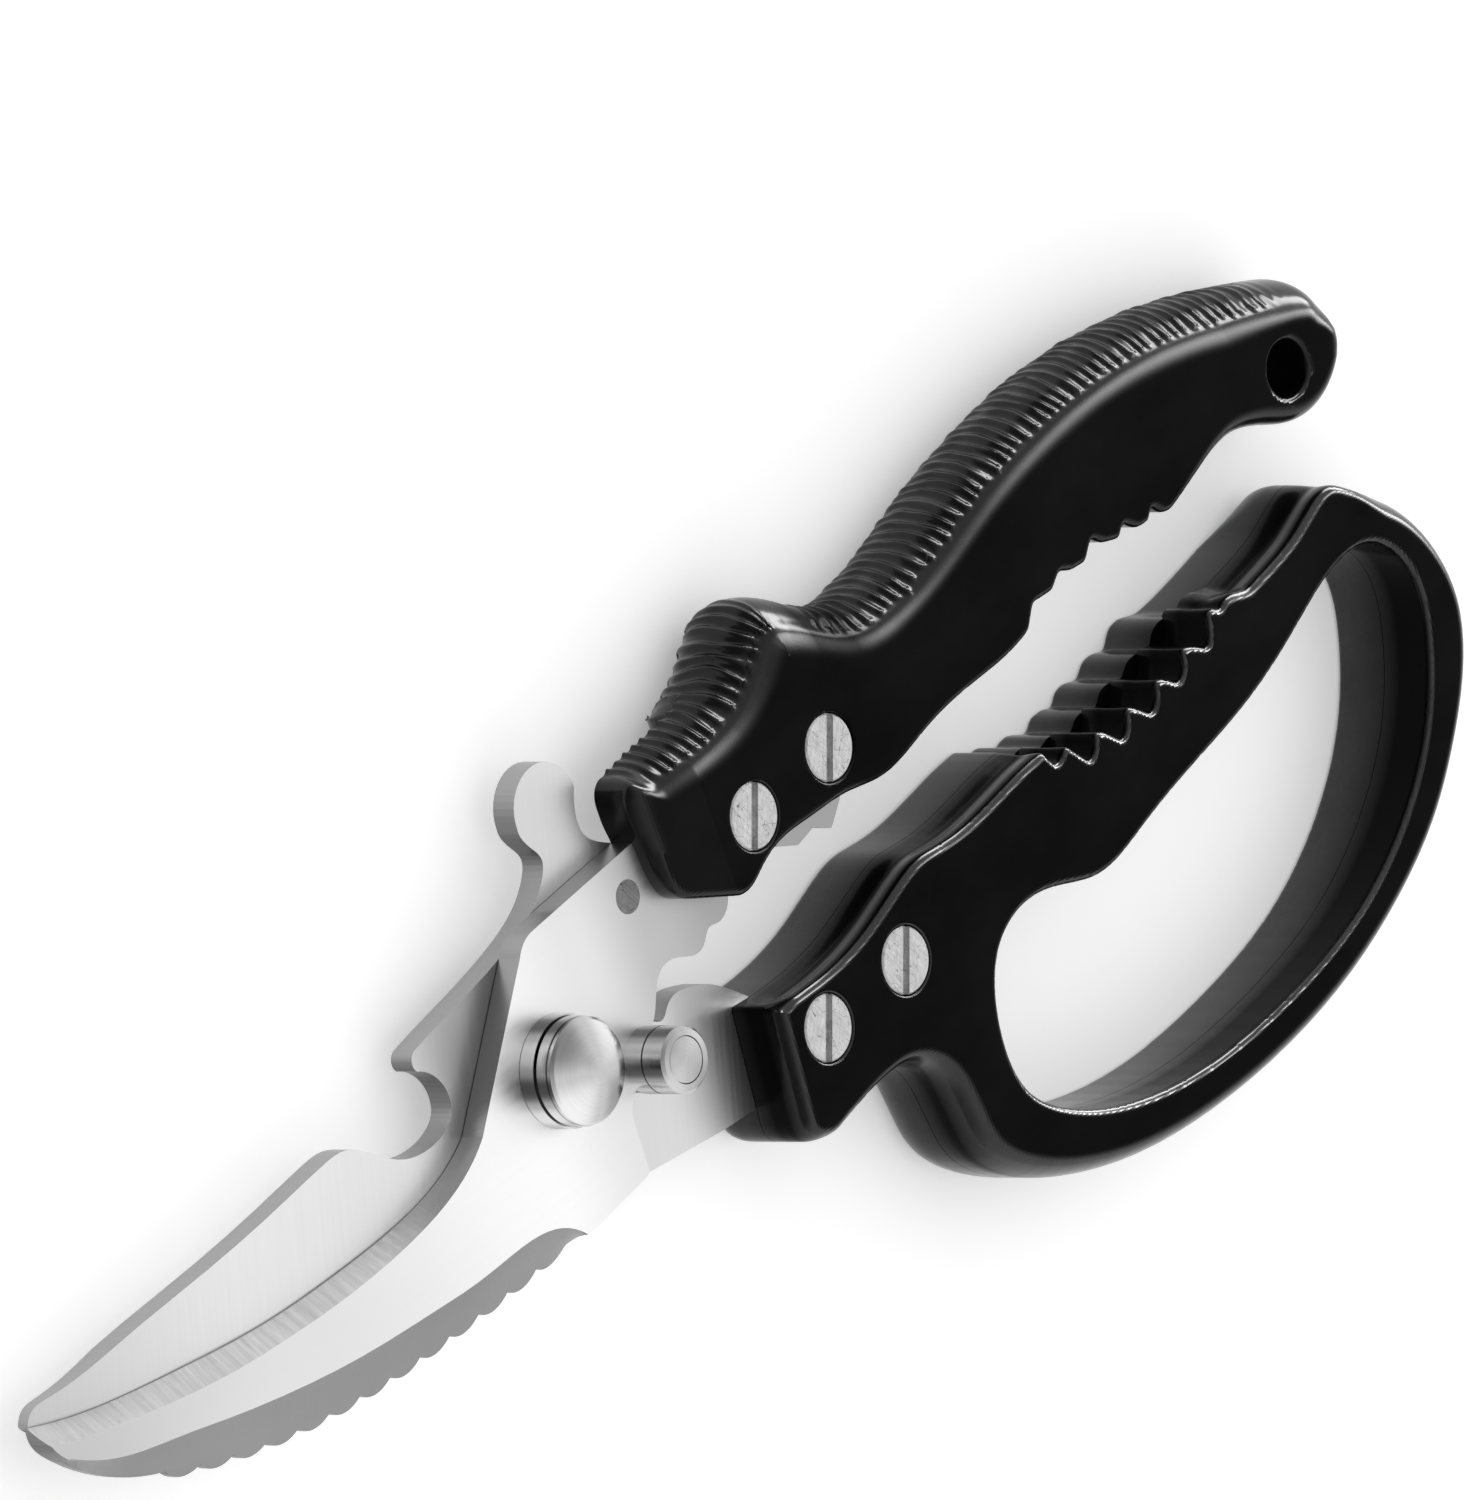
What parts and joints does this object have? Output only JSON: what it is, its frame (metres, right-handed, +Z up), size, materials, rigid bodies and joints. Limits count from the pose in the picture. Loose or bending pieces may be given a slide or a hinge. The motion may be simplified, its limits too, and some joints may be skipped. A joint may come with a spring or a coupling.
{
  "type": "poultry shears",
  "caption": "Poultry shears with a curved scaler-edged blade, bottle-opener gullet, press latch, ribbed palm handle and closed finger-loop handle.",
  "frame": {"origin": "middle of the bounding box, on the surface that the backs of the handles lie on", "axes": "+X along the shears from the blade tips to the handles, +Y across them towards the palm handle, +Z up out of the front face, along the pivot"},
  "size_m": [0.2558, 0.089, 0.0175],
  "materials": {
    "blade_steel": "bright satin stainless, fine grain",
    "blade_steel_brushed": "stainless brushed across the blade",
    "handle_plastic": "glossy black moulded plastic",
    "polished_steel": "polished stainless dome",
    "turned_steel": "turned stainless with fine rings",
    "dark_steel": "dark grey steel",
    "spring_steel": "drawn spring wire",
    "screw_steel": "scuffed light grey steel"
  },
  "bodies": {
    "lower": {"back_blade": "blade_steel_brushed", "lower_handle_front_shell": "handle_plastic", "lower_handle_back_shell": "handle_plastic", "pivot_bolt": "polished_steel", "pivot_base_washer": "turned_steel", "pivot_spring_washer": "dark_steel", "pivot_ring": "turned_steel", "pivot_back_washer": "turned_steel", "pivot_nut": "turned_steel", "lower_handle_front_screw": "screw_steel", "lower_handle_front_nut": "screw_steel", "lower_handle_rear_screw": "screw_steel", "lower_handle_rear_nut": "screw_steel"},
    "upper": {"front_blade": "blade_steel", "upper_handle_front_shell": "handle_plastic", "upper_handle_back_shell": "handle_plastic", "latch_collar": "turned_steel", "latch_housing": "turned_steel", "latch_spring": "spring_steel", "blade_flush_pin": "dark_steel", "upper_handle_front_screw": "screw_steel", "upper_handle_front_nut": "screw_steel", "upper_handle_rear_screw": "screw_steel", "upper_handle_rear_nut": "screw_steel"},
    "button": {"latch_button": "turned_steel"}
  },
  "joints": [
    {"name": "blade_pivot", "type": "hinge", "parent": "lower", "child": "upper", "pos_m": [-0.03232, 0.01006, 0.0075], "axis": [0, 0, 1], "range_deg": [0, 50]},
    {"name": "latch_press", "type": "slide", "parent": "upper", "child": "button", "axis": [0, 0, 1], "range_m": [-0.0015, 0], "stiffness_N_per_m": 900, "springref_m": 0.0005, "deforming": ["latch_spring"]}
  ]
}
